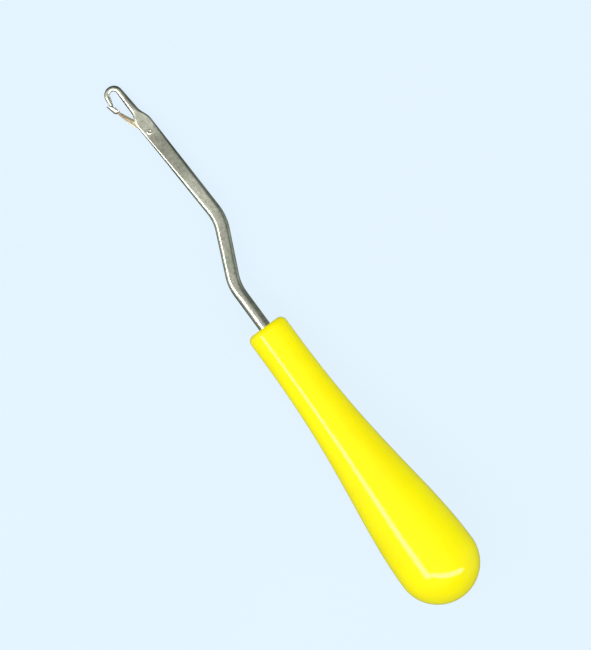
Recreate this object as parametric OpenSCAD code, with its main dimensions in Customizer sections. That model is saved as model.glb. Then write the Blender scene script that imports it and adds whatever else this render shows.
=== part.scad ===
// Latch hook for rug making: a moulded yellow handle on a cranked steel hook, whose eye
// is closed by a small latch that swings on a rivet in the slotted head.
// The handle's axis runs along X and the hook points to +X. The crank lies in the plane
// z = axis_z, and the tool rests on z = 0.

/* [Overall] */
// Length from the butt of the handle to the crown of the hook
tool_length = 165; // [160:1:172]

/* [Handle] */
// Length of the handle
handle_length = 89; // [86:1:92]
// Diameter of the straight neck
neck_diameter = 11.6; // [11:0.1:13]
// Length of the straight neck
neck_length = 7; // [5:1:10]
// Pull of the neck on the flare's curve, along the axis
neck_pull = 36; // [30:1:38]
// Pull of the belly on the flare's curve, along the axis
belly_pull = 20; // [12:1:24]
// Diameter of the belly
belly_diameter = 22.6; // [21:0.1:25]
// Radius of the rounded rim at the front
rim_radius = 1.8; // [1:0.1:2.2]

/* [Shank] */
// Diameter of the round wire
wire_diameter = 3.5; // [3.2:0.1:3.8]
// Length of the tang inside the handle
tang_length = 48; // [40:1:56]
// Distance from the handle to the first bend
crank_start = 13.7; // [12:0.1:15]
// Distance between the two bends
crank_length = 18.2; // [16:0.1:20]
// Angle by which the first bend leaves the axis
crank_angle = 24.5; // [20:0.5:28]
// Angle at which the forward blade runs back towards the axis
return_angle = 2.2; // [1:0.1:4]
// Radius of both bends on the centre line
bend_radius = 12.8; // [10:0.1:14]
// Thickness of the pressed blade at the first bend
blade_thickness = 2.8; // [2.4:0.05:3]

/* [Head] */
// Width of the head across its cheeks
head_width = 4.4; // [4.2:0.05:4.8]
// Thickness of the head over both cheeks
head_thickness = 2.2; // [2:0.05:2.5]
// Width of the slot between the cheeks
slot_width = 1.0; // [0.9:0.05:1.2]
// Radius of the cutter that makes the slot
cutter_radius = 9; // [8:0.1:10]
// Thickness of the hook at its crown
crown_wire = 1.5; // [1.3:0.05:1.6]
// Radius of the crown on the centre line of the wire
crown_radius = 1.8; // [1.7:0.05:2]
// Angle through which the crown turns the wire back
crown_turn = 169; // [165:1:170]
// Length of the leg that ends in the hook's point
leg_length = 3.4; // [2.8:0.1:3.6]
// Distance from the crown to the rivet
rivet_reach = 16.1; // [15.9:0.1:16.5]

/* [Latch] */
// Diameter of the rivet
rivet_diameter = 1.2; // [1.1:0.05:1.4]
// Radial clearance of the latch on its rivet
rivet_clearance = 0.04; // [0.02:0.01:0.08]
// Thickness of the latch arm
latch_thickness = 0.8; // [0.7:0.05:0.85]
// Length of the spoon from its round end to its lip
spoon_length = 3.5; // [3.3:0.1:3.7]
// Radius of the spoon's cup outside
spoon_radius = 1.15; // [1.05:0.05:1.25]
// Wall of the spoon's cup
spoon_wall = 0.34; // [0.26:0.02:0.36]

/* [Hidden] */

front_x = handle_length - tool_length / 2;
reach = tool_length - handle_length;
belly_radius = belly_diameter / 2;
neck_radius = neck_diameter / 2;
wire_radius = wire_diameter / 2;
axis_z = belly_radius;
eps = 0.01;

steel = [0.70, 0.69, 0.65];
latch_steel = [0.66, 0.58, 0.46];
rivet_steel = [0.85, 0.83, 0.78];
yellow = [1.0, 0.92, 0.02];

function ease(t) = let (c = min(1, max(0, t))) c * c * (3 - 2 * c);
function blend(a, b, t) = a + (b - a) * ease(t);
function line(a, b, t) = a + (b - a) * t;

// Puts a piece drawn in the tool's frame (handle front at x = 0, axis on X) into place
module in_tool_frame() {
    translate([front_x, 0, axis_z]) children();
}

// The handle's outline, as [distance behind the front face, radius]. A rounded rim leads to
// the straight neck, one cubic curve makes the flare, and the butt is a hemisphere.
belly_start = handle_length - belly_radius;
flare_steps = 26;
butt_steps = 20;
rim_steps = 8;

function cubic(a, b, c, d, t) =
    a * pow(1 - t, 3) + 3 * b * t * pow(1 - t, 2) + 3 * c * t * t * (1 - t) + d * pow(t, 3);
function flare(t) = cubic([neck_length, neck_radius], [neck_length + neck_pull, neck_radius],
    [belly_start - belly_pull, belly_radius], [belly_start, belly_radius], t);

handle_outline = concat(
    [[0, 0]],
    [for (i = [0:rim_steps]) let (a = 90 * i / rim_steps)
        [rim_radius * (1 - cos(a)), neck_radius - rim_radius * (1 - sin(a))]],
    [for (i = [0:flare_steps]) flare(i / flare_steps)],
    [for (i = [1:butt_steps - 1]) let (a = 90 * i / butt_steps)
        [belly_start + belly_radius * sin(a), belly_radius * cos(a)]],
    [[handle_length, 0]]
);

// The centre line of the wire in the plane of the crank, x forward and y to the throat side
bend_1 = [crank_start, 0];
bend_2 = bend_1 + crank_length * [cos(crank_angle), -sin(crank_angle)];
forward = [cos(return_angle), sin(return_angle)];
sideways = [-sin(return_angle), cos(return_angle)];

// A bend's arc from heading h0 to heading h1 round the vertex v, as [x, y, heading] stations
function bend(v, h0, h1, steps) =
    let (turn = h1 - h0, side = sign(turn), half = abs(turn) / 2, t = bend_radius * tan(half))
    let (start = v - t * [cos(h0), sin(h0)])
    let (centre = start + side * bend_radius * [-sin(h0), cos(h0)])
    [for (i = [0:steps]) let (h = h0 + turn * i / steps)
        [centre[0] + side * bend_radius * sin(h), centre[1] - side * bend_radius * cos(h), h]];

// The head's own places: u counts back from the crown, v from the blade's centre line
crown_u = crown_radius + crown_wire / 2;
crown_reach = (reach - crown_u - bend_2[0] + crown_radius * sin(return_angle)) / cos(return_angle);
function head_point(u, v) = bend_2 + (crown_reach + crown_u - u) * forward + v * sideways;
rivet_v = 0.36;

// A station of the sweep is [x, y, heading, half width, half thickness, corner radius].
// The tang is the round wire, with a flattened key at its end that stops it turning.
key_length = 8;
key_width = 4.6;
key_thickness = 2.6;
function tang(x, key) = [x, 0, 0,
    blend(wire_radius, key_width / 2, key),
    blend(wire_radius, key_thickness / 2, key),
    blend(wire_radius, key_thickness / 2 - eps, key)];
function tang_stations() = concat(
    [tang(-tang_length, 0.5), tang(-tang_length + 0.8, 1), tang(key_length - tang_length, 1)],
    [for (i = [1:4]) tang(key_length - tang_length + 0.7 * i, 1 - i / 4)]
);

// The wire is pressed flat over the first bend, and widens slowly to the head. The press
// leaves its sides round, and they grow squarer towards the head.
press_start = crank_start - 4.5;
press_length = 6;
blade_width = 3.7;
press_corner = 1.9;
head_corner = 0.6;
cheek_end = 13.4;
head_x = head_point(cheek_end, 0)[0];
function pressed(p) = let (t = (p[0] - press_start) / press_length)
    let (far = max(0, (p[0] - crank_start) / (head_x - crank_start)))
    let (thick = line(blade_thickness, head_thickness, far) / 2)
    [p[0], p[1], p[2],
     blend(wire_radius, line(blade_width, head_width, far) / 2, t),
     blend(wire_radius, thick, t),
     blend(wire_radius, min(thick - 0.02, line(press_corner, head_corner, far)), t)];
bend_1_start = crank_start - bend_radius * tan(crank_angle / 2);
function blade_stations() = concat(
    [for (x = [press_start : 0.9 : bend_1_start - 0.3]) pressed([x, 0, 0])],
    [for (p = bend(bend_1, 0, -crank_angle, 9)) pressed(p)],
    [for (p = bend(bend_2, -crank_angle, return_angle, 10)) pressed(p)],
    [for (u = [36, 25, cheek_end + 0.6]) pressed(concat(head_point(u, 0), return_angle))]
);

// The neck tapers from the cheeks to the crown, and the head's two edges leave it in turn
neck_start = 9;
neck_width = 2.25;
neck_thickness = 2;
neck_wire = 1.7;
back_shoulder = [9, 13.3];
throat_shoulder = [9.2, 13.2];
function neck_share(u) = min(1, (u - crown_u) / (neck_start - crown_u));
function shoulder(span, u) = ease((u - span[0]) / (span[1] - span[0]));
function edge(span, u) =
    line(line(neck_wire, neck_width, neck_share(u)), head_width, shoulder(span, u)) / 2;
function head_station(u) = let (back = edge(back_shoulder, u), throat = edge(throat_shoulder, u))
    let (p = head_point(u, (throat - back) / 2), a = (throat + back) / 2)
    let (neck = line(neck_wire, neck_thickness, neck_share(u)))
    let (b = line(neck, head_thickness, shoulder([neck_start, cheek_end], u)) / 2)
    [p[0], p[1], return_angle, a, b, blend(min(a, b) - eps, head_corner, (u - neck_start) / 2)];
function head_stations() = concat(
    [for (u = [cheek_end : -0.4 : neck_start + 0.2]) head_station(u)],
    [head_station(neck_start)]
);

// The hook is the same wire from the neck on, and meets the shank face to face there. It
// turns back on itself and ends in a short leg that tapers to its point.
tip_radius = 0.28;
crown_steps = 16;
leg_steps = 6;
leg_heading = return_angle + crown_turn;
crown_centre = head_point(crown_u, crown_radius);
function round_station(p, heading, r) = [p[0], p[1], heading, r, r, r - eps / 2];
function crown_point(h) = crown_centre + crown_radius * [sin(h), -cos(h)];
function leg_point(l) = crown_point(leg_heading) + l * [cos(leg_heading), sin(leg_heading)];
function crown_wire_at(h) = blend(neck_wire, crown_wire, (h - return_angle) / 90);
function leg_radius(l) = blend(crown_wire / 2, tip_radius, 0.05 + 0.9 * l / leg_length);
function hook_stations() = concat(
    [for (u = [neck_start, 7.5, 5.9, 4.2]) head_station(u)],
    [for (i = [0:crown_steps]) let (h = return_angle + crown_turn * i / crown_steps)
        round_station(crown_point(h), h, crown_wire_at(h) / 2)],
    [for (i = [1:leg_steps]) let (l = leg_length * i / leg_steps)
        round_station(leg_point(l), leg_heading, leg_radius(l))],
    [for (a = [30, 55, 75]) let (r = leg_radius(leg_length))
        round_station(leg_point(leg_length + r * sin(a)), leg_heading, r * cos(a))]
);

// One ring of the sweep: a rectangle with round corners, or a circle, across the heading
corner_steps = 6;
ring_count = 4 * corner_steps;
function ring(s) =
    [for (i = [0:ring_count - 1])
        let (a = 90 * (i + 0.5) / corner_steps, quarter = floor(i / corner_steps))
        let (sy = (quarter == 0 || quarter == 3) ? 1 : -1, sz = quarter < 2 ? 1 : -1)
        let (y = sy * (s[3] - s[5]) + s[5] * cos(a), z = sz * (s[4] - s[5]) + s[5] * sin(a))
        [s[0] - y * sin(s[2]), s[1] + y * cos(s[2]), z]];

module sweep(stations) {
    rings = len(stations);
    points = [for (s = stations) each ring(s)];
    sides = [for (k = [0:rings - 2], i = [0:ring_count - 1])
        let (a = k * ring_count + i, b = k * ring_count + (i + 1) % ring_count)
        each [[a, a + ring_count, b], [b, a + ring_count, b + ring_count]]];
    first = [for (i = [0:ring_count - 1]) i];
    last = [for (i = [ring_count - 1 : -1 : 0]) (rings - 1) * ring_count + i];
    polyhedron(points, concat([first, last], sides));
}

// The slot is cut by a slitting saw that plunges near the rivet and is fed along the blade
slot_floor = -1.05;
slot_feed = 3;
slot_start = rivet_reach + 0.8;
module slot() {
    for (u = [slot_start, slot_start + slot_feed])
        in_head(u, slot_floor + cutter_radius)
            cylinder(r = cutter_radius, h = slot_width, center = true, $fn = 120);
    in_head(slot_start + slot_feed / 2, slot_floor + cutter_radius)
        cube([slot_feed, 2 * cutter_radius, slot_width], center = true);
}

// Puts a piece drawn with x forward and y to the throat side at the head's place u, v
module in_head(u, v) {
    translate(head_point(u, v)) rotate([0, 0, return_angle]) children();
}

// The rivet's ends are staked into the countersunk cheeks, and each keeps its punch mark
stake_flare = 0.13;
stake_depth = 0.14;
punch_radius = 0.3;
module rivet_body() {
    half = head_thickness / 2;
    pin = rivet_diameter / 2;
    rotate_extrude($fn = 64)
        polygon([[0, -half], [pin + stake_flare, -half], [pin, -half + stake_depth],
                 [pin, half - stake_depth], [pin + stake_flare, half], [0, half]]);
}

module handle() {
    color(yellow) in_tool_frame() difference() {
        rotate([0, 90, 0]) rotate_extrude($fn = 128)
            polygon([for (p = handle_outline) [p[1], -p[0]]]);
        sweep(concat(tang_stations(), [tang(1, 0)]));
    }
}

module shank() {
    color(steel) in_tool_frame() difference() {
        sweep(concat(tang_stations(), blade_stations(), head_stations()));
        slot();
        in_head(rivet_reach, rivet_v) rivet_body();
    }
}

module hook() {
    color(steel) in_tool_frame() sweep(hook_stations());
}

module latch_rivet() {
    color(rivet_steel) in_tool_frame() in_head(rivet_reach, rivet_v) difference() {
        rivet_body();
        for (side = [-1, 1]) translate([0, 0, side * (head_thickness / 2 + punch_radius / 2)])
            sphere(r = punch_radius, $fn = 32);
    }
}

// The latch is drawn closed, from its eye at the origin to the spoon over the hook's point
eye_radius = 1.15;
spoon_place = [10.1, 3.36];
spoon_tilt = 9.8;
spoon_rim = -0.35;
scoop_radius = 5;
scoop_place = [4.21, -3.74];
arm_outer = [[-0.1, 1.14], [2, 1.3], [3.3, 3.05], [9.5, 3.81]];
arm_inner = [[9.5, 3.21], [5.7, 1.56], [0.45, -1.05], [-0.7, -0.9]];
arm_steps = 10;

module latch() {
    color(latch_steel) in_tool_frame() in_head(rivet_reach, rivet_v) difference() {
        union() {
            cylinder(r = eye_radius, h = latch_thickness, center = true, $fn = 64);
            linear_extrude(height = latch_thickness, center = true)
                polygon(concat([for (i = [0:arm_steps]) cubic(arm_outer[0], arm_outer[1],
                    arm_outer[2], arm_outer[3], i / arm_steps)], arm_inner));
            at_spoon() spoon_shell();
        }
        at_spoon() capsule(spoon_radius - spoon_wall, spoon_length);
        cylinder(r = rivet_diameter / 2 + rivet_clearance, h = 2 * latch_thickness, center = true, $fn = 64);
    }
}

module at_spoon() {
    translate(spoon_place) rotate([0, 0, spoon_tilt]) children();
}

// A round trough with one domed end, x along it and y towards its floor
module capsule(r, length) {
    sphere(r = r, $fn = 48);
    rotate([0, 90, 0]) cylinder(r = r, h = length, $fn = 48);
}

// The cup keeps its floor, and its side walls are scooped away towards the lip
module spoon_shell() {
    big = 4 * spoon_radius;
    difference() {
        capsule(spoon_radius, spoon_length - spoon_radius);
        translate([-big / 2, spoon_rim - big, -big / 2]) cube(big);
        translate(scoop_place) cylinder(r = scoop_radius, h = big, center = true, $fn = 96);
    }
}

handle();
shank();
hook();
latch();
latch_rivet();
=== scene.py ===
# %% [markdown]
# # A latch hook for rug making
# A latch hook knots short lengths of yarn through canvas. The real tool is a steel wire
# that is pressed flat, slotted and bent, with a small latch on a rivet, and a plastic
# handle that is moulded round the wire's tang. This lesson makes the same pieces much as
# a maker does: the wire is drawn out ring by ring, pressed, bent and sawn, the rivet is
# turned, the latch is cut and cupped, the handle is turned, and each gets its own finish.
#
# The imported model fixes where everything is. It lies with the handle along X, the hook to
# +X, and the plane of the crank level, so all places below are in that frame.

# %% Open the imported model
import math
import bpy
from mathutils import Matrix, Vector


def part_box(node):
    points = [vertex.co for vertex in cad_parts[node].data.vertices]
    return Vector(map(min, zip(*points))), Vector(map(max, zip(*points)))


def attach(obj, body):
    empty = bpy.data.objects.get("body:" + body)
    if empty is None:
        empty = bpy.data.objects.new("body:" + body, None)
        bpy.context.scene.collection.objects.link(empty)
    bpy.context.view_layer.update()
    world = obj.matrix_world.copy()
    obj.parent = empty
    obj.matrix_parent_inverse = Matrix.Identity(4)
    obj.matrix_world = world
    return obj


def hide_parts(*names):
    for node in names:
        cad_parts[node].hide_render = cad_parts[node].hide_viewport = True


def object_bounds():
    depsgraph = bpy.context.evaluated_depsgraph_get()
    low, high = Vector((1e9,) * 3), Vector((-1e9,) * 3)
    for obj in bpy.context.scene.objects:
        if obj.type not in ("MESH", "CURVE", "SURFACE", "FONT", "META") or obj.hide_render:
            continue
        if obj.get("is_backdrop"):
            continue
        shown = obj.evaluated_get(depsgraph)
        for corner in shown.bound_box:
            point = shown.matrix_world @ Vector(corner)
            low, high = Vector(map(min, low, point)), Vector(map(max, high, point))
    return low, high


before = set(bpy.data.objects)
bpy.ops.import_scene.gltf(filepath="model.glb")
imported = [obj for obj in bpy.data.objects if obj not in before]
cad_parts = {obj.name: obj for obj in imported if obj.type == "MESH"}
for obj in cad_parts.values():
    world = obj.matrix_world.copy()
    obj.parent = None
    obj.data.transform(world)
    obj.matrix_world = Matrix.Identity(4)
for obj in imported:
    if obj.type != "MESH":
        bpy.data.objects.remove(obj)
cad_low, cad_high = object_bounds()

from types import SimpleNamespace

import bmesh
import bpy
from mathutils import Matrix, Vector

print("the model holds", sorted(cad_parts), "from", cad_low[:], "to", cad_high[:])

# %% [markdown]
# ## One set of measures
# The drawing of the tool is in millimetres, from the front face of the handle: x runs
# forward to the hook, y to the side on which the hook is open, z up. Blender works in
# metres from the middle of the tool, so one small function turns a drawn place into a
# place in the scene. It takes the handle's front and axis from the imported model, and not
# from copied numbers.

# %% From the drawing to the scene
MM = 0.001
handle_low, handle_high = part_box("handle")
axis_z = (handle_low.z + handle_high.z) / 2
handle_length = (handle_high.x - handle_low.x) / MM
reach = (cad_high.x - handle_high.x) / MM


def place(x, y, z=0.0):
    """A drawn place in mm, as a place in the scene in metres"""
    return Vector((handle_high.x + x * MM, y * MM, axis_z + z * MM))


def heading_vector(heading, length=1.0):
    """A level vector that points along a heading"""
    return Vector((math.cos(heading), math.sin(heading), 0)) * length


def ease(t):
    """0 to 1 with a soft start and a soft end"""
    t = min(1.0, max(0.0, t))
    return t * t * (3 - 2 * t)


def mix(a, b, t):
    """From a to b, by the share t of the way"""
    return a + (b - a) * t


print(f"the handle is {handle_length:.2f} mm long, and the hook reaches {reach:.2f} mm")

# %% [markdown]
# ## Working with operators
# Everything is made with the operators that a person would use in the viewport. An
# operator works on all that is selected, so each piece starts with an empty selection,
# and within a piece the script selects by place. With no window open, rotate turns
# clockwise, so the helper passes each angle on with its sign changed.

# %% Helpers for whole objects
def empty_selection():
    """Leaves edit mode and deselects every object"""
    if bpy.context.object and bpy.context.object.mode == "EDIT":
        bpy.ops.object.mode_set(mode="OBJECT")
    bpy.ops.object.select_all(action="DESELECT")


def settle(name):
    """Names the active object and puts its place into its mesh"""
    piece = bpy.context.object
    piece.name = piece.data.name = name
    bpy.ops.object.transform_apply(location=True, rotation=True, scale=True)
    return piece


def pick(piece):
    """Selects one object and nothing else"""
    empty_selection()
    piece.select_set(True)
    bpy.context.view_layer.objects.active = piece


print("objects can be picked and settled")

# %% Helpers for edit mode
def select_vertices(piece, wanted):
    """In edit mode, selects the vertices whose place is wanted, and nothing else"""
    bpy.ops.mesh.select_all(action="DESELECT")
    mesh = bmesh.from_edit_mesh(piece.data)
    chosen = [vertex for vertex in mesh.verts if wanted(vertex.co)]
    for vertex in chosen:
        vertex.select = True
    mesh.select_flush(True)
    bmesh.update_edit_mesh(piece.data)
    return len(chosen)


def turn(angle, centre, axis="Z"):
    """Turns what is selected counter-clockwise, seen from the tip of the axis"""
    bpy.ops.transform.rotate(value=-angle, orient_axis=axis, center_override=centre)


print("points can be selected by place and turned")

# %% [markdown]
# ## Cutting, joining and checking
# A saw slot, a rivet hole and a moulded socket are all one solid cut by another, and the
# Boolean modifier does each in one exact step, where an edit by hand would have to rebuild
# the faces round the cut. Every finished piece is checked for open edges, and for a volume
# above zero, which says that its faces point outwards.

# %% Cut one piece with another
def apply_modifier(piece, modifier):
    """Makes a modifier's result the piece's own mesh"""
    bpy.context.view_layer.objects.active = piece
    bpy.ops.object.modifier_apply(modifier=modifier.name)


def cut(piece, cutter, operation="DIFFERENCE", keep=False):
    """Cuts a piece with another, or joins the two, and removes the cutter"""
    empty_selection()
    modifier = piece.modifiers.new("cut", "BOOLEAN")
    modifier.operation, modifier.object, modifier.solver = operation, cutter, "EXACT"
    apply_modifier(piece, modifier)
    if not keep:
        bpy.data.objects.remove(cutter, do_unlink=True)


print("the cutter is exact")

# %% Smooth a piece, and check it
def smooth_faces(piece, angle):
    """Smooths all but the edges that are sharper than the angle"""
    pick(piece)
    bpy.ops.object.shade_smooth_by_angle(angle=math.radians(angle))


def check(piece):
    """Prints a piece's faces, volume and open edges"""
    mesh = bmesh.new()
    mesh.from_mesh(piece.data)
    loose = sum(not edge.is_manifold for edge in mesh.edges)
    volume = mesh.calc_volume(signed=True) / MM**3
    mesh.free()
    faces = len(piece.data.polygons)
    print(f"{piece.name}: {faces} faces, {volume:.2f} mm3, {loose} open edges")


print("each piece is checked for open edges and for its volume")

# %% [markdown]
# ## The line of the wire
# The wire leaves the handle on its axis, is bent aside by 24.5 degrees, and is bent back
# 18.2 mm further on, past parallel by 2.2 degrees, so that the hook ends up close to the
# handle's axis again. Both bends are made round the same pin. The head is drawn from the
# crown of the hook: u counts back from the crown, and v sideways from the middle of the
# blade.

# %% Bends, and places on the head
wire_radius, tang_length = 1.75, 48.0
crank_start, crank_length, bend_radius = 13.7, 18.2, 12.8
crank_angle, return_angle = math.radians(24.5), math.radians(2.2)
crown_radius, crown_wire = 1.8, 1.5

bend_1 = Vector((crank_start, 0))
bend_2 = bend_1 + crank_length * heading_vector(-crank_angle).xy
forward = heading_vector(return_angle).xy
sideways = heading_vector(return_angle + math.pi / 2).xy
crown_u = crown_radius + crown_wire / 2
crown_reach = (reach - crown_u - bend_2.x + crown_radius * forward.y) / forward.x


def head_point(u, v):
    """A drawn place on the head, u back from the crown and v sideways"""
    return bend_2 + (crown_reach + crown_u - u) * forward + v * sideways


def bend_stations(corner, start, end, steps):
    """Places and headings along a bend, whose straight ends would meet at the corner"""
    side = math.copysign(1, end - start)
    tangent = bend_radius * math.tan(abs(end - start) / 2)
    centre = (corner - tangent * heading_vector(start).xy
              + side * bend_radius * heading_vector(start + math.pi / 2).xy)
    for i in range(steps + 1):
        heading = mix(start, end, i / steps)
        outward = heading_vector(heading + math.pi / 2).xy
        yield centre - side * bend_radius * outward, heading


print("the second bend is at", [round(c, 2) for c in bend_2], "mm")

# %% [markdown]
# ## Pressing a ring
# A press squeezes round wire into a bar with rounded corners. A ring of 24 points does
# the same when its four quarters are taken as the bar's four corners: each quarter is
# scaled about its own corner's centre, and moved with it. A section is half the bar's
# width, half its thickness and the radius of its corners, and a round wire is a section
# with all three alike.

# %% Select a ring, or a quarter of it
RING_POINTS = 24


def corner_centre(wire, section, side, up):
    """Where one rounded corner of a section has its centre, from the wire's middle"""
    across = heading_vector(wire.heading + math.pi / 2)
    return (across * side * (section[0] - section[2])
            + Vector((0, 0, up * (section[1] - section[2])))) * MM


def select_ring(wire, side=0, up=0):
    """Selects the wire's end ring, or the quarter of it on one side of its centre"""
    bpy.ops.mesh.select_all(action="DESELECT")
    mesh = bmesh.from_edit_mesh(wire.piece.data)
    mesh.verts.ensure_lookup_table()
    across = heading_vector(wire.heading + math.pi / 2)
    for vertex in (mesh.verts[i] for i in wire.ring):
        arm = vertex.co - place(*wire.spot)
        vertex.select = arm @ across * side >= 0 and arm.z * up >= 0
    mesh.select_flush(True)


print("a ring has", RING_POINTS, "points, and each corner", RING_POINTS // 4)

# %% Press a ring into its section
SAME = 1e-7  # two places, angles or sizes that are closer than this are the same


def press(wire, section):
    """Presses the wire's end ring, one quarter after the other"""
    if max(abs(a - b) for a, b in zip(section, wire.section)) < SAME:
        return
    for side, up in ((1, 1), (1, -1), (-1, -1), (-1, 1)):
        old = corner_centre(wire, wire.section, side, up)
        new = corner_centre(wire, section, side, up)
        select_ring(wire, side, up)
        bpy.ops.transform.resize(value=(section[2] / wire.section[2],) * 3,
            center_override=place(*wire.spot) + old)
        bpy.ops.transform.translate(value=new - old)
    wire.section = tuple(section)
    select_ring(wire)


print("a ring is pressed at its four corners")

# %% [markdown]
# ## Drawing the wire
# A curve with a bevel would do for plain wire, but it keeps one kind of section, and this
# wire is pressed and drawn in on its way. So the wire starts as a filled disc, and its end
# ring is extruded to the next station, turned to the wire's heading there, and pressed.
# Along a bend the stations lie close together, so that each ring turns only a little.

# %% Start the wire, and draw it out
def start_wire(name, spot, radius):
    """A filled disc across the wire's start, open for edits"""
    empty_selection()
    bpy.ops.mesh.primitive_circle_add(vertices=RING_POINTS, radius=radius * MM,
        fill_type="NGON", location=place(*spot), rotation=(0, math.pi / 2, 0))
    wire = SimpleNamespace(piece=settle(name), spot=Vector(spot), heading=0.0,
        section=(radius,) * 3, ring=range(RING_POINTS))
    bpy.ops.object.mode_set(mode="EDIT")
    bpy.ops.mesh.select_mode(type="VERT")
    bpy.ops.mesh.select_all(action="SELECT")
    turn(math.pi / RING_POINTS, place(*spot), "X")
    return wire


def draw(wire, spot, heading, section):
    """Draws the wire out to the next station"""
    step = place(*spot) - place(*wire.spot)
    bpy.ops.mesh.extrude_region_move(TRANSFORM_OT_translate={"value": step})
    mesh = bmesh.from_edit_mesh(wire.piece.data)
    wire.ring = [vertex.index for vertex in mesh.verts if vertex.select]
    wire.spot = Vector(spot)
    if abs(heading - wire.heading) > SAME:
        turn(heading - wire.heading, place(*spot))
        wire.heading = heading
    press(wire, section)


print("the wire can be drawn and pressed")

# %% [markdown]
# ## Tang, crank and blade
# The tang is the last 48 mm of the wire, inside the handle. A key pressed flat at its end
# stops it turning there. In front of the handle the wire stays round up to the first bend,
# where it is pressed to a flat blade 3.7 mm wide, which widens to 4.4 mm at the head. The
# squeezed metal goes into the width, so the blade thins from 2.8 to 2.2 mm on the way. Its
# sides start out round, because the press only touches the top and the bottom, and grow
# squarer towards the head. These measures decide how the tool looks, so the stations lie
# closest where the section changes and round the bends.

# %% Draw the tang and press its key
key_length, key_width, key_thickness = 8.0, 4.6, 2.6
key_start, key_fade, FADE_STEPS = 0.8, 2.8, 4
EDGE = 0.01  # the least flat left between two corners


def key_section(share):
    """The tang's section, from round wire at 0 to the full key at 1"""
    share = ease(share)
    half, thick = key_width / 2, key_thickness / 2
    return tuple(mix(wire_radius, size, share) for size in (half, thick, thick - EDGE))


shank = start_wire("steel_shank", (-tang_length, 0), wire_radius)
press(shank, key_section(0.5))
draw(shank, (key_start - tang_length, 0), 0, key_section(1))
for i in range(FADE_STEPS + 1):
    x = key_length - tang_length + key_fade / FADE_STEPS * i
    draw(shank, (x, 0), 0, key_section(1 - i / FADE_STEPS))
print("the tang's key ends at", round(shank.spot.x, 2), "mm")

# %% Press the blade and bend the crank
blade_width, blade_thickness, press_corner = 3.7, 2.8, 1.9
head_width, head_thickness, head_corner = 4.4, 2.2, 0.6
press_start, press_length, cheek_end = crank_start - 4.5, 6.0, 13.4
straight_stops = (0, press_start, press_start + 0.8)
blade_stops = (36, 25, 18, cheek_end + 0.6)
head_x = head_point(cheek_end, 0).x


def blade_section(x):
    """The blade's section at x, which is round wire before the press"""
    pressed = ease((x - press_start) / press_length)
    far = max(0.0, (x - crank_start) / (head_x - crank_start))
    half = mix(blade_width, head_width, far) / 2
    thick = mix(blade_thickness, head_thickness, far) / 2
    corner = min(thick - 2 * EDGE, mix(press_corner, head_corner, far))
    return tuple(mix(wire_radius, size, pressed) for size in (half, thick, corner))


stations = [(Vector((x, 0)), 0.0) for x in straight_stops]
stations += bend_stations(bend_1, 0, -crank_angle, steps=9)
stations += bend_stations(bend_2, -crank_angle, return_angle, steps=10)
stations += [(head_point(u, 0), return_angle) for u in blade_stops]
for spot, heading in stations:
    draw(shank, spot, heading, blade_section(spot.x))
print("drawn to", [round(c, 2) for c in shank.spot], "mm in", len(stations), "stations")

# %% [markdown]
# ## Head, neck and hook
# At the head the blade's two edges draw in, one a little before the other, to a round neck.
# The neck tapers from 2.25 to 1.7 mm, thins to 1.5 mm while it goes round the crown by 169
# degrees, and comes back as a short leg that narrows to a blunt point. The point lies
# inside the closed latch, so its place matters more than any other on the tool. Once the
# whole wire is drawn, subdivision rounds it between the rings, so few rings are enough.

# %% Draw in the head
neck_start, neck_width, neck_thickness, neck_wire = 9.0, 2.25, 2.0, 1.7
back_shoulder, throat_shoulder, corner_run = (9.0, 13.3), (9.2, 13.2), 2.0
shoulder_stops = [cheek_end - 0.4 * i for i in range(11)]
neck_stops = [neck_start, 7.5, 5.9, 4.2, crown_u]


def head_section(u):
    """The middle of the head at u, and its section there"""
    neck = min(1.0, (u - crown_u) / (neck_start - crown_u))
    back, throat, thick = (ease((u - a) / (b - a)) for a, b in
        (back_shoulder, throat_shoulder, (neck_start, cheek_end)))
    width = mix(neck_wire, neck_width, neck)
    low, high = -mix(width, head_width, back) / 2, mix(width, head_width, throat) / 2
    half = (high - low) / 2
    height = mix(mix(neck_wire, neck_thickness, neck), head_thickness, thick) / 2
    squared = ease((u - neck_start) / corner_run)
    corner = mix(min(half, height) - EDGE, head_corner, squared)
    return head_point(u, (low + high) / 2), (half, height, corner)


for u in shoulder_stops + neck_stops:
    spot, section = head_section(u)
    draw(shank, spot, return_angle, section)
print("the neck meets the crown at", [round(c, 2) for c in shank.spot], "mm")

# %% Bend the crown and point the leg
crown_turn, CROWN_STEPS = math.radians(169), 18
leg_length, tip_radius, LEG_STEPS = 3.4, 0.28, 6
tip_angles = [math.radians(angle) for angle in (35, 62, 82)]
crown_centre = head_point(crown_u, crown_radius)


def leg_radius(share):
    """The leg's radius, whose taper starts and ends slowly"""
    return mix(crown_wire / 2, tip_radius, ease(0.05 + 0.9 * share))


for i in range(1, CROWN_STEPS + 1):
    turned_by = crown_turn * i / CROWN_STEPS
    heading = return_angle + turned_by
    spot = crown_centre - crown_radius * heading_vector(heading + math.pi / 2).xy
    radius = mix(neck_wire, crown_wire, ease(turned_by / (math.pi / 2))) / 2
    draw(shank, spot, heading, (radius,) * 3)
leg_start, leg_heading = Vector(shank.spot), shank.heading
for i in range(1, LEG_STEPS + 1):
    spot = leg_start + heading_vector(leg_heading, leg_length * i / LEG_STEPS).xy
    draw(shank, spot, leg_heading, (leg_radius(i / LEG_STEPS),) * 3)
end_radius = leg_radius(1)
for a in tip_angles:
    spot = leg_start + heading_vector(leg_heading, leg_length + end_radius * math.sin(a)).xy
    draw(shank, spot, leg_heading, (end_radius * math.cos(a),) * 3)
bpy.ops.object.mode_set(mode="OBJECT")
steel_shank = shank.piece
rounding = steel_shank.modifiers.new("rounding", "SUBSURF")
rounding.levels = rounding.render_levels = 2
apply_modifier(steel_shank, rounding)
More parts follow.
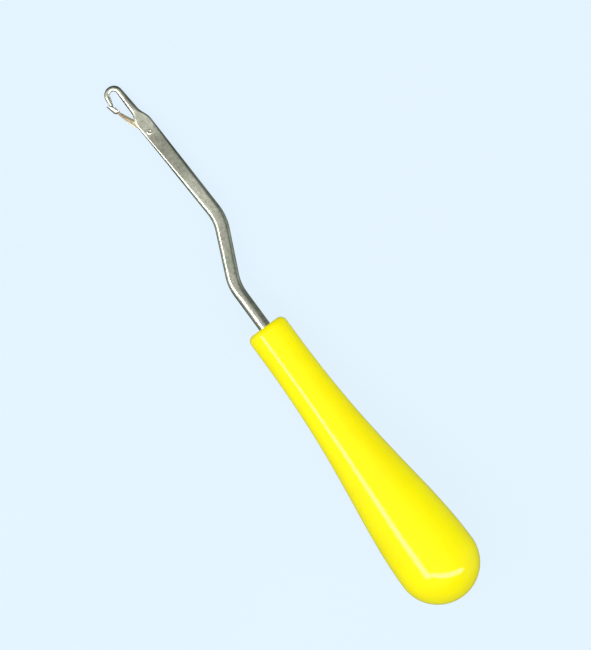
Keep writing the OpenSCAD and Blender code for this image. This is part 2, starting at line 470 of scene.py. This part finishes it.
check(steel_shank)

# %% [markdown]
# ## Drawing an outline, and turning on a lathe
# A line of points is drawn by pulling one vertex out of the last, which is how a profile is
# traced in the viewport. Spun round an axis it becomes a turned piece, and closed and
# pulled up it becomes a plate. The seam and the poles of a spin lie on each other, so they
# are merged, and the normals are then made to point outwards.

# %% Trace a line, and close up what is made of it
def trace(name, spots):
    """A line through the spots, as a new piece that is open for edits"""
    empty_selection()
    bpy.ops.mesh.primitive_plane_add(size=MM, location=spots[0])
    piece = settle(name)
    bpy.ops.object.mode_set(mode="EDIT")
    bpy.ops.mesh.select_mode(type="VERT")
    bpy.ops.mesh.select_all(action="SELECT")
    bpy.ops.mesh.merge(type="CENTER")
    for last, spot in zip(spots, spots[1:]):
        bpy.ops.mesh.extrude_region_move(TRANSFORM_OT_translate={"value": spot - last})
    bpy.ops.mesh.select_all(action="SELECT")
    return piece


merge_within = 0.001


def close_up(piece):
    """Merges what lies on itself, and turns the faces outwards"""
    bpy.ops.mesh.select_all(action="SELECT")
    bpy.ops.mesh.remove_doubles(threshold=merge_within * MM)
    bpy.ops.mesh.normals_make_consistent(inside=False)
    bpy.ops.object.mode_set(mode="OBJECT")
    return piece


print("points closer than", merge_within, "mm are merged")

# %% Spin a line, or make it a plate
def turned(name, outline, centre, axis, across, steps):
    """Spins an outline of (distance along the axis, radius) in mm"""
    piece = trace(name, [centre + (axis * s + across * r) * MM for s, r in outline])
    bpy.ops.mesh.spin(steps=steps, angle=2 * math.pi, center=centre, axis=axis)
    return close_up(piece)


def plate(name, outline, thickness):
    """A flat plate round the origin's level, from its outline in mm"""
    piece = trace(name, [Vector((x, y, -thickness / 2)) * MM for x, y in outline])
    bpy.ops.mesh.edge_face_add()
    up = Vector((0, 0, thickness * MM))
    bpy.ops.mesh.extrude_region_move(TRANSFORM_OT_translate={"value": up})
    return close_up(piece)


print("outlines can be spun or made plates")

# %% [markdown]
# ## Sawing the slot
# A slitting saw 1 mm thick and 18 mm across plunges into the edge of the head near the
# rivet, is fed 3 mm along the blade, and leaves two cheeks with a round run-out at each
# end. So the cutter is that saw: a disc, one half of which is pulled along the feed.

# %% Saw between the cheeks
slot_width, saw_radius, slot_floor, slot_feed = 1.0, 9.0, -1.05, 3.0
rivet_reach, rivet_v, saw_lag = 16.1, 0.36, 0.8
saw_spot = head_point(rivet_reach + saw_lag, slot_floor + saw_radius)
empty_selection()
bpy.ops.mesh.primitive_cylinder_add(vertices=160, radius=saw_radius * MM,
    depth=slot_width * MM, location=place(*saw_spot), rotation=(0, 0, return_angle))
saw = settle("slitting_saw")
bpy.ops.object.mode_set(mode="EDIT")
feed = heading_vector(return_angle, -slot_feed * MM)
moved = select_vertices(saw, lambda co: (co - place(*saw_spot)) @ feed > 0)
bpy.ops.transform.translate(value=feed)
cut(steel_shank, saw)
print("the saw was fed", slot_feed, "mm, with", moved, "points of its disc")
check(steel_shank)

# %% [markdown]
# ## The rivet
# The rivet is a pin through both cheeks. Its ends are staked: a punch spreads them into
# the countersinks and leaves a dimple with a low burnished rim round it. A plain cylinder
# has none of this, so the pin is turned. The outline of its upper half is listed, as
# height and radius, and mirrored for the lower half. The turned pin cuts its own hole in
# the cheeks, because the staked metal fills that hole.

# %% Turn the rivet and seat it
rivet_radius, stake_flare, stake_depth = 0.6, 0.13, 0.14
rivet_spot = place(*head_point(rivet_reach, rivet_v))
dimple = [(0.97, 0), (0.985, 0.12), (1.03, 0.2), (1.1, 0.265)]
rim = [(1.14, 0.32), (1.165, 0.4), (1.17, 0.5), (1.155, 0.6), (1.12, 0.69)]
face = head_thickness / 2
side_down = [(face, rivet_radius + stake_flare), (face - stake_depth, rivet_radius)]
upper_half = dimple + rim + side_down
lower_half = [(-height, radius) for height, radius in reversed(upper_half)]
rivet = turned("latch_pin", upper_half + lower_half, rivet_spot, Vector((0, 0, 1)),
    Vector((1, 0, 0)), steps=64)
cut(steel_shank, rivet, keep=True)
check(rivet)
check(steel_shank)

# %% [markdown]
# ## The latch
# The latch is a flat arm with an eye at one end and a cupped spoon at the other, which
# closes over the hook's point. Arm and eye are one outline: a curve along the outer
# edge, two straight runs along the inner one, and the rest of the circle round the eye.
# It is drawn round the rivet as origin and swung into its place when it is whole.

# %% Cut the arm with its eye
latch_thickness, eye_radius, pin_clearance = 0.8, 1.15, 0.04
arm_curve = ((-0.1, 1.14), (2, 1.3), (3.3, 3.05), (9.5, 3.81))
arm_inside, eye_edge = [(9.5, 3.21), (5.7, 1.56)], (0.45, -1.05)
ARM_STEPS, EYE_STEPS = 20, 40


def on_curve(curve, t):
    """The point at t of a curve with two end points and two handles"""
    weights = ((1 - t) ** 3, 3 * t * (1 - t) ** 2, 3 * t * t * (1 - t), t**3)
    return tuple(sum(w * p[i] for w, p in zip(weights, curve)) for i in (0, 1))


def around(radius, start, end, steps):
    """Places on a circle, from the start angle to one step before the end angle"""
    for i in range(steps):
        angle = mix(start, end, i / steps)
        yield radius * math.cos(angle), radius * math.sin(angle)


eye_from = math.atan2(eye_edge[1], eye_edge[0])
eye_to = math.atan2(arm_curve[0][1], arm_curve[0][0]) - 2 * math.pi
eye_arc = list(around(eye_radius, eye_from, eye_to, EYE_STEPS))
arm_outline = [on_curve(arm_curve, i / ARM_STEPS) for i in range(ARM_STEPS + 1)]
latch = plate("latch_arm", arm_outline + arm_inside + eye_arc, latch_thickness)
check(latch)

# %% [markdown]
# ## The spoon
# The spoon starts as half a ball whose open rim is pulled forward into a trough. The cup's
# hollow is a smaller trough of the same make. The outer one is trimmed flat along its rim,
# scooped so that its walls fall away to the lip, and joined to the arm, and only then
# is the hollow cut, so that the end of the arm doesn't stand in it.

# %% Pull a trough out of a ball
def trough(name, radius, length):
    """A closed trough that starts with half a ball at the origin and runs along X"""
    empty_selection()
    bpy.ops.mesh.primitive_uv_sphere_add(segments=48, ring_count=24, radius=radius * MM,
        location=(0, 0, 0), rotation=(0, math.pi / 2, 0))
    piece = settle(name)
    bpy.ops.object.mode_set(mode="EDIT")
    bpy.ops.mesh.select_mode(type="VERT")
    select_vertices(piece, lambda co: co.x > SAME)
    bpy.ops.mesh.delete(type="VERT")
    select_vertices(piece, lambda co: co.x > -SAME)
    pull = Vector((length * MM, 0, 0))
    bpy.ops.mesh.extrude_region_move(TRANSFORM_OT_translate={"value": pull})
    bpy.ops.mesh.edge_face_add()
    return close_up(piece)


spoon_radius, spoon_wall, spoon_length, spoon_rim = 1.15, 0.34, 3.5, -0.35
spoon = trough("spoon", spoon_radius, spoon_length - spoon_radius)
hollow = trough("hollow", spoon_radius - spoon_wall, spoon_length)
check(spoon)

# %% Trim the rim, scoop the walls, and join the spoon to the arm
scoop_radius, scoop_spot, cutter_size = 5.0, Vector((4.21, -3.74, 0)), 6.0
spoon_spot, spoon_tilt = Vector((10.1, 3.36, 0)), math.radians(9.8)
empty_selection()
bpy.ops.mesh.primitive_cube_add(size=cutter_size * MM,
    location=(0, (spoon_rim - cutter_size / 2) * MM, 0))
cut(spoon, settle("rim_trim"))
bpy.ops.mesh.primitive_cylinder_add(vertices=192, radius=scoop_radius * MM,
    depth=cutter_size * MM, location=scoop_spot * MM)
cut(spoon, settle("scoop"))
for part in (spoon, hollow):
    part.rotation_euler.z, part.location = spoon_tilt, spoon_spot * MM
    pick(part)
    settle(part.name)
cut(latch, spoon, operation="UNION")
cut(latch, hollow)
check(latch)

# %% Drill the eye, and swing the latch into its place
drill_radius, drill_depth = rivet_radius + pin_clearance, 3.0
bpy.ops.mesh.primitive_cylinder_add(vertices=64, radius=drill_radius * MM,
    depth=drill_depth * MM, location=(0, 0, 0))
cut(latch, settle("pin_drill"))
latch.rotation_euler.z, latch.location = return_angle, rivet_spot
pick(latch)
settle("swinging_latch")
check(latch)

# %% [markdown]
# ## The handle
# The handle has a rounded rim, a straight neck, one long curve out to the belly, and a
# hemisphere for the butt. All of that is one outline, so it is turned in one spin. The
# real one is moulded round the tang, so the wire itself cuts the socket, key and all. A
# small chamfer lies round the wire's way in.

# %% Turn the handle and mould it round the tang
neck_radius, rim_radius, neck_length = 5.8, 1.8, 7.0
neck_pull, belly_pull = 36.0, 20.0
way_in, chamfer = wire_radius - 0.05, 0.2
RIM_STEPS, FLARE_STEPS, BUTT_STEPS, LATHE_STEPS = 10, 48, 32, 144
belly_radius = (handle_high.z - handle_low.z) / 2 / MM
belly_start = handle_length - belly_radius
flare = ((neck_length, neck_radius), (neck_length + neck_pull, neck_radius),
         (belly_start - belly_pull, belly_radius), (belly_start, belly_radius))
outline = [(chamfer, 0), (chamfer, way_in), (0, wire_radius + chamfer), (0, 3)]
outline += [(rim_radius * (1 - math.cos(a)), neck_radius - rim_radius * (1 - math.sin(a)))
            for a in (math.pi / 2 * i / RIM_STEPS for i in range(RIM_STEPS + 1))]
outline += [(neck_length * share, neck_radius) for share in (0.5, 0.75)]
outline += [on_curve(flare, i / FLARE_STEPS) for i in range(FLARE_STEPS + 1)]
outline += [(belly_start + belly_radius * math.sin(a), belly_radius * math.cos(a))
            for a in (math.pi / 2 * i / BUTT_STEPS for i in range(1, BUTT_STEPS))]
outline += [(handle_length, 0)]
backwards, aside = Vector((-1, 0, 0)), Vector((0, 1, 0))
grip = turned("moulded_grip", outline, place(0, 0), backwards, aside, LATHE_STEPS)
cut(grip, steel_shank, keep=True)
check(grip)

# %% [markdown]
# ## Softening the sawn edges
# No edge on a real tool is perfectly sharp: the tumbling barrel rounds it, and the thin
# line of light on it is what the eye reads as metal. The latch's cut edges get a small
# bevel. The wire's own corners are round from the press, so it only needs smooth shading,
# with the edges of the slot and of the holes left crisp.

# %% Bevel the latch, and smooth all pieces
bevel_width, bevelled_from = 0.06, math.radians(50)
softened = latch.modifiers.new("softened", "BEVEL")
softened.width, softened.segments = bevel_width * MM, 2
softened.limit_method, softened.angle_limit = "ANGLE", bevelled_from
apply_modifier(latch, softened)
for piece, angle in ((steel_shank, 30), (rivet, 40), (latch, 30), (grip, 40)):
    smooth_faces(piece, angle)
    check(piece)

# %% [markdown]
# ## Building a finish
# A finish is a small tree of nodes round one shader. Values that are the same all over
# are set on the shader itself, and patterns are joined to it when they are whole. A small
# helper adds a node and sets or joins its sockets in one line, which keeps the recipes
# below short enough to read as recipes.

# %% Start a finish, and add nodes to it
def start_finish(name, **settings):
    """A new material, its shader, and the piece's own coordinates"""
    material = bpy.data.materials.new(name)
    material.use_nodes = True
    tree = material.node_tree
    surface = tree.nodes["Principled BSDF"]
    for socket, value in settings.items():
        surface.inputs[socket.replace("_", " ")].default_value = value
    here = tree.nodes.new("ShaderNodeTexCoord").outputs["Object"]
    return SimpleNamespace(material=material, tree=tree, surface=surface, here=here)


def node(finish, kind, sockets, **settings):
    """Adds a node, and joins or sets its sockets"""
    made = finish.tree.nodes.new("ShaderNode" + kind)
    for name, value in settings.items():
        setattr(made, name, value)
    for name, value in sockets.items():
        if isinstance(value, bpy.types.NodeSocket):
            finish.tree.links.new(value, made.inputs[name])
        else:
            made.inputs[name].default_value = value
    return made.outputs


def wear(finish, **outputs):
    """Joins the finished patterns to the shader"""
    for socket, value in outputs.items():
        finish.tree.links.new(value, finish.surface.inputs[socket.replace("_", " ")])


print("a finish starts from one shader and the piece's own coordinates")

# %% [markdown]
# ## Patterns with a real size
# All patterns are read from the piece's own place in metres, so a grain has a real size,
# which is easier to judge in mm. Noise gives the grain, a ramp turns it into colours or
# into a grey value, and a blend lays one pattern over another. What changes along the
# tool is read from x, and what can be felt is a height for the bump.

# %% Grain and ramps
def grain(finish, size, detail=2.0, stretch=(1, 1, 1), turned_by=0.0, distortion=0.0):
    """Noise whose lumps are about size mm across, longer where stretch is small"""
    mapped = node(finish, "Mapping", {"Vector": finish.here, "Scale": stretch,
        "Rotation": (0, 0, -turned_by)})[0]
    return node(finish, "TexNoise", {"Vector": mapped, "Scale": 1 / (size * MM),
        "Detail": detail, "Distortion": distortion})["Fac"]


def ramp(finish, factor, *stops):
    """A colour ramp through its stops, each (position, colour or grey value)"""
    made = finish.tree.nodes.new("ShaderNodeValToRGB")
    finish.tree.links.new(factor, made.inputs["Fac"])
    points = made.color_ramp.elements
    while len(points) < len(stops):
        points.new(0.5)
    for point, (position, value) in zip(points, stops):
        colour = value if isinstance(value, tuple) else (value,) * 3
        point.position, point.color = position, (*colour, 1)
    return made.outputs["Color"]


print("grain is measured in mm")

# %% Blends, places along the tool, and relief
def blend(finish, kind, factor, first, second):
    """Blends two colours, where the second is laid over the first"""
    return node(finish, "Mix", {0: factor, 6: first, 7: second},
        data_type="RGBA", blend_type=kind)[2]


def progress(finish, start, end):
    """0 at start and 1 at end, which are two places along the tool"""
    x = node(finish, "SeparateXYZ", {"Vector": finish.here})["X"]
    return node(finish, "MapRange", {"Value": x, "From Min": start, "From Max": end})[0]


def dents(finish, height, depth, strength=1.0, under=None):
    """Turns a height of 0 to 1 into relief depth mm deep"""
    sockets = {"Height": height, "Distance": depth * MM, "Strength": strength}
    if under:
        sockets["Normal"] = under
    return node(finish, "Bump", sockets)[0]


print("relief is measured in mm")

# %% [markdown]
# ## Moulded yellow plastic
# The handle is a lemon yellow about as bright as a photo can show, with a high gloss.
# Pigment never mixes quite evenly, so the yellow drifts towards gold in slow clouds and
# holds a few fine specks. The gloss carries what a mould and a hand leave: a faint orange
# peel, and hairlines that run mostly along the handle and gather at the butt. A little
# light enters the plastic, which softens the shade at its edges.

# %% Yellow handle finish
plastic = start_finish("yellow_plastic", Roughness=0.14, IOR=1.46, Specular_IOR_Level=0.36,
    Subsurface_Weight=0.12, Subsurface_Scale=0.002, Subsurface_Radius=(1.0, 0.7, 0.1))
drift = ramp(plastic, grain(plastic, 16, 3), (0.36, (0.96, 0.86, 0.001)),
    (0.66, (0.93, 0.80, 0.001)))
specks = ramp(plastic, grain(plastic, 0.45, 1), (0.70, 1.0), (0.76, 0.86))
yellow = blend(plastic, "MULTIPLY", 1.0, drift, specks)
hairlines = ramp(plastic, grain(plastic, 0.35, 2, (0.06, 1, 1), 0.12, 0.4), (0.60, 0.0),
    (0.72, 1.0))
handled = ramp(plastic, progress(plastic, handle_high.x, handle_low.x), (0, 0.15), (1, 1.0))
scuffs = node(plastic, "Math", {0: hairlines, 1: handled}, operation="MULTIPLY")[0]
smear = ramp(plastic, grain(plastic, 5, 4), (0.3, 0.08), (0.75, 0.14))
scuffed = 0.16
gloss = node(plastic, "Math", {0: scuffs, 1: scuffed, 2: smear},
    operation="MULTIPLY_ADD")[0]
peel = dents(plastic, grain(plastic, 1.8, 2), 0.007)
skin = dents(plastic, scuffs, -0.003, 0.6, peel)
wear(plastic, Base_Color=yellow, Roughness=gloss, Normal=skin)
print("the plastic has", len(plastic.tree.nodes), "nodes")

# %% [markdown]
# ## Plated steel
# The wire is nickel-plated steel that has been handled: a warm grey with soft darker
# patches, a hint of green where the plating is thin, and fine lines along the wire from
# the polishing belt. Small pits lie under the plating. The colour changes on three
# scales, patches of a few mm, a mottle of about one mm and a fine speckle, with soft
# stains among them, and the polish drifts from bright to dull in patches of its own.
# Along the wire the colour is also painted darker and lighter, as painted shade and painted
# highlight: the crank and the middle of the blade are darker than the bend between them,
# the head and the crown are the lightest, and the neck has a dark spell.

# %% Steel finish for the wire
def steel_finish(name, dark, middle, light, dull, bright, belt_heading):
    """Handled steel from three tones and two roughnesses, polished along a heading"""
    steel = start_finish(name, Metallic=1.0, IOR=2.0)
    patches = ramp(steel, grain(steel, 5, 3, distortion=0.3), (0.33, dark), (0.5, middle),
        (0.66, light))
    mottle = ramp(steel, grain(steel, 0.9, 3, distortion=0.3), (0.34, 0.76), (0.62, 1.0))
    greenish = ramp(steel, grain(steel, 6, 2), (0.52, (1, 1, 1)), (0.72, (0.90, 1.0, 0.93)))
    toned = blend(steel, "MULTIPLY", 1.0, patches, mottle)
    stains = ramp(steel, grain(steel, 1.7, 2, distortion=0.3), (0.28, 0.80), (0.44, 1.0))
    toned = blend(steel, "MULTIPLY", 1.0, toned, stains)
    speckle = ramp(steel, grain(steel, 0.3, 1), (0.36, 0.84), (0.60, 1.0))
    toned = blend(steel, "MULTIPLY", 1.0, toned, speckle)
    plated = blend(steel, "MULTIPLY", 1.0, toned, greenish)
    belt = grain(steel, 0.12, 3, (0.04, 1, 1), belt_heading)
    matt = ramp(steel, grain(steel, 2.2, 5), (0.35, bright), (0.7, dull))
    lines = ramp(steel, belt, (0.35, 0.0), (0.7, 0.07))
    rough = blend(steel, "ADD", 1.0, matt, lines)
    pits = ramp(steel, grain(steel, 0.3, 1), (0.24, 0.0), (0.40, 1.0))
    relief = dents(steel, belt, 0.0008, 1.0, dents(steel, pits, 0.003, 0.5))
    wear(steel, Base_Color=plated, Roughness=rough, Normal=relief)
    print(name, "has", len(steel.tree.nodes), "nodes")
    return steel, plated


wire_steel, plated = steel_finish("plated_steel", (0.74, 0.75, 0.64), (0.86, 0.86, 0.74),
    (0.95, 0.93, 0.84), 0.25, 0.15, return_angle)
# Painted shade and painted highlight: the wire's colour is darkened and lightened by its
# place along the tool.
painted_shade_and_highlight = ramp(wire_steel, progress(wire_steel, handle_high.x, cad_high.x), (0.08, 0.90),
    (0.22, 0.76), (0.34, 0.78), (0.44, 1.04), (0.56, 0.96), (0.63, 0.68), (0.68, 0.66),
    (0.76, 0.68), (0.81, 1.06), (0.85, 1.2), (0.875, 1.2), (0.90, 0.86), (0.914, 0.70),
    (0.93, 0.80), (0.945, 0.95), (0.96, 1.05))
wear(wire_steel, Base_Color=blend(wire_steel, "MULTIPLY", 1.0, plated, painted_shade_and_highlight))

# %% [markdown]
# ## Latch and rivet
# The latch is stamped from thinner, harder strip, and heat has given its arm a tint that
# the wire doesn't have: straw near the rivet and brown further out, while the spoon has
# stayed silvery. The rivet's ends are burnished when they are staked and then rubbed by
# the yarn, and the rim of each punch mark catches the light as a bright crescent.

# %% Steel finishes for the small pieces
latch_steel, bare = steel_finish("straw_tinted_steel", (0.76, 0.72, 0.66),
    (0.94, 0.92, 0.88), (1.0, 1.0, 0.97), 0.36, 0.24, return_angle)
latch_reach = 13.5
from_rivet = progress(latch_steel, rivet_spot.x, rivet_spot.x + latch_reach * MM)
heat = ramp(latch_steel, from_rivet, (0.12, (0.95, 0.88, 0.70)), (0.32, (1.0, 0.92, 0.72)),
    (0.42, (0.78, 0.66, 0.51)), (0.50, (0.72, 0.60, 0.45)), (0.58, (0.58, 0.46, 0.33)))
spoon_tone = ramp(latch_steel, from_rivet, (0.62, 0.0), (0.76, 1.0))
straw = blend(latch_steel, "MULTIPLY", 1.0, bare, heat)
silvery = (0.74, 0.73, 0.66, 1)
wear(latch_steel, Base_Color=blend(latch_steel, "MIX", spoon_tone, straw, silvery))
rivet_steel, _ = steel_finish("burnished_steel", (0.70, 0.67, 0.55), (0.80, 0.77, 0.66),
    (0.88, 0.85, 0.75), 0.26, 0.14, math.pi / 2)
print("the latch's tint is laid out over", latch_reach, "mm from the rivet")

# %% [markdown]
# ## Handing the pieces to the model
# Each piece gets its finish, rides on the body that carries it, and stands in for the solid
# that it replaces. The latch alone rides on the moving body.

# %% Dress the model
pieces = ((grip, plastic, "tool", "handle_plastic", ("handle",)),
          (steel_shank, wire_steel, "tool", "shank_steel", ("shank", "hook")),
          (rivet, rivet_steel, "tool", "rivet_steel", ("latch_rivet",)),
          (latch, latch_steel, "latch", "latch_steel", ("latch",)))
for piece, finish, body, slot, nodes in pieces:
    piece.data.materials.clear()
    piece.data.materials.append(finish.material)
    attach(piece, body)
    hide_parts(*nodes)
    print(piece.name, "rides on", body)

# %% [markdown]
# ## The table
# The tool is stored with its axis level, but on a table it leans on its belly and on its
# head. The table is tilted to fit: its slope is found by halving, until the rear and the
# front of the tool are equally far above it. It is a pale blue sheet that shines with its
# own light, so the shadow on it stays as faint as in a product photo, and it is kept out
# of the reflections, where the studio's own walls are wanted.

# %% Lay the table under the tool
def lowest(points, slope):
    """How high a sheet of this slope can lie under the points"""
    return min(p.z - slope * p.x for p in points)


solids = [v.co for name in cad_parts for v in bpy.data.objects[name].data.vertices]
rear, front = ([p for p in solids if side * p.x > 0] for side in (-1, 1))
low, high, HALVINGS = -0.3, 0.3, 40
for _ in range(HALVINGS):
    slope = (low + high) / 2
    if lowest(front, slope) > lowest(rear, slope):
        low = slope
    else:
        high = slope
table_size = 1.6
empty_selection()
bpy.ops.mesh.primitive_plane_add(size=table_size, location=(0, 0, lowest(solids, slope)),
    rotation=(0, -math.atan(slope), 0))
table = settle("table")
table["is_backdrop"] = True
table.visible_glossy = table.visible_shadow = False
print(f"the table rises by {math.degrees(math.atan(slope)):.2f} degrees to the hook")

# %% Table finish
paper = start_finish("pale_blue_sheet", Roughness=0.9, Emission_Strength=0.95)
tone = ramp(paper, grain(paper, 120, 2), (0.3, (0.752, 0.885, 0.990)),
    (0.7, (0.766, 0.893, 1.000)))
shade = ramp(paper, grain(paper, 0.6, 2), (0.3, (0.016, 0.019, 0.022)),
    (0.7, (0.020, 0.023, 0.026)))
wear(paper, Base_Color=shade, Emission_Color=tone)
table.data.materials.append(paper.material)
print("the table is", table.dimensions.x, "m long")

# %% [markdown]
# ## The room
# Steel has hardly a colour of its own, it shows the room. So the room is painted for what
# the photo's steel shows: a soft grey above for the flat faces, dim walls for the dark
# edges, lighter walls to the photo's left and right for the sides of the crank, and a
# dark end beyond the hook for the dark outer line of its crown. Each is a ramp over how
# far a direction points one way, which is the dot product of the two.

# %% Paint the room that the steel mirrors
world = bpy.data.worlds.new("studio")
bpy.context.scene.world = world
world.use_nodes = True
sky = world.node_tree
directions = sky.nodes.new("ShaderNodeTexCoord").outputs["Generated"]
room = SimpleNamespace(tree=sky, here=directions)


def towards(way):
    """1 where the room is seen this way, -1 where it is seen the other way"""
    return node(room, "VectorMath", {0: room.here, 1: way},
        operation="DOT_PRODUCT")["Value"]


overhead = Vector((0.0, 0.45, 0.9)).normalized()
height = node(room, "MapRange", {"Value": towards(overhead), "From Min": -1.0,
    "From Max": 1.0})[0]
walls = ramp(room, height, (0.0, (0.18, 0.20, 0.19)), (0.27, (0.13, 0.165, 0.15)),
    (0.45, (0.14, 0.175, 0.155)), (0.63, (0.17, 0.19, 0.17)), (0.86, (0.48, 0.50, 0.47)),
    (1.0, (0.74, 0.74, 0.70)))
left_or_right = node(room, "Math", {0: towards((0.59, 0.81, 0))}, operation="ABSOLUTE")[0]
windows = ramp(room, left_or_right, (0.79, 0.0), (0.97, (0.34, 0.35, 0.32)))
beyond_hook = ramp(room, towards((0.95, -0.3, 0)), (0.3, 1.0), (0.8, 0.35))
walls = blend(room, "MULTIPLY", 1.0, walls, beyond_hook)
walls = blend(room, "ADD", 1.0, walls, windows)
sky.links.new(walls, sky.nodes["Background"].inputs["Color"])
sky.nodes["Background"].inputs["Strength"].default_value = 1.0
print("the room is painted with", len(sky.nodes), "nodes")

# %% [markdown]
# ## Studio light
# The gloss tells how the tool was lit. One straight streak runs along the handle's lower
# left side, so a strip light hangs on that side at 45 degrees. At the butt the streak
# turns a corner, so a second strip crosses the butt and meets the first. Both only show
# in the gloss, and a broad ceiling light only lights the colours, so the streaks and the
# yellow are set apart.

# %% Hang the lamps
tool_middle = (cad_low + cad_high) / 2
along_tool, across_butt = Vector((1, 0, 0)), Vector((-0.67, -0.75, 0))
side_angle, strip_glow, fill_glow = math.radians(45), 11.0, 0.95


def studio_light(name, direction, distance, length, width, along, glow, mirrored):
    """An area light facing the tool, where a glow of 1 is white. A mirrored one only shows
    in the gloss, and the others only light the colours."""
    back = Vector(direction).normalized()
    across = back.cross(along).normalized()
    facing_tool = Matrix((across.cross(back), across, back)).transposed().to_4x4()
    bpy.ops.object.light_add(type="AREA")
    lamp = bpy.context.object
    lamp.name = lamp.data.name = name
    lamp.data.shape, lamp.data.size, lamp.data.size_y = "RECTANGLE", length, width
    lamp.data.energy, lamp.visible_camera = glow * math.pi * length * width, False
    lamp.visible_glossy, lamp.visible_diffuse = mirrored, not mirrored
    lamp.matrix_world = Matrix.Translation(tool_middle + back * distance) @ facing_tool
    print(f"{name} is {length} by {width} m and hangs {distance} m away")


studio_light("side_strip", (0, math.sin(side_angle), math.cos(side_angle)), distance=0.45,
    length=0.43, width=0.115, along=along_tool, glow=strip_glow, mirrored=True)
studio_light("butt_strip", (-0.443, -0.003, 0.426), distance=0.615,
    length=1.08, width=0.13, along=across_butt, glow=strip_glow, mirrored=True)
studio_light("ceiling_fill", (0, 0, 1), distance=0.7,
    length=3.2, width=3.2, along=along_tool, glow=fill_glow, mirrored=False)

# %% [markdown]
# ## The camera
# The photo is taken from straight above, with the hook at the upper left. A long lens far
# away keeps the belly, which is nearer than the wire, from looking too large. The photo
# takes in 157 by 173 mm at the height of the tool's axis.

# %% Camera
view_height, view_centre = 172.9, Vector((2.07, -6.88))
camera_angle, camera_distance, film_size = math.radians(-126.3), 1.6, 36.0
bpy.ops.object.camera_add(rotation=(0, 0, camera_angle),
    location=(view_centre.x * MM, view_centre.y * MM, axis_z + camera_distance))
camera = bpy.context.object
camera.name = "overhead_camera"
camera.data.sensor_width = camera.data.sensor_height = film_size
camera.data.lens = film_size * camera_distance / (view_height * MM)
camera.data.clip_start, camera.data.clip_end = 0.01, 20.0
bpy.context.scene.camera = camera
bpy.context.scene.view_settings.view_transform = "Standard"
print(f"the lens is {camera.data.lens:.0f} mm long")

# %% [markdown]
# ## Sizes
# The dressed tool must be as large as the imported one, so its box is compared with the
# imported one's.

# %% Compare the boxes and finish
now_low, now_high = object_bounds()
difference = max(abs(a - b) for a, b in zip((*now_low, *now_high), (*cad_low, *cad_high)))
print(f"the dressed tool differs from the model by {difference / MM:.3f} mm at most")
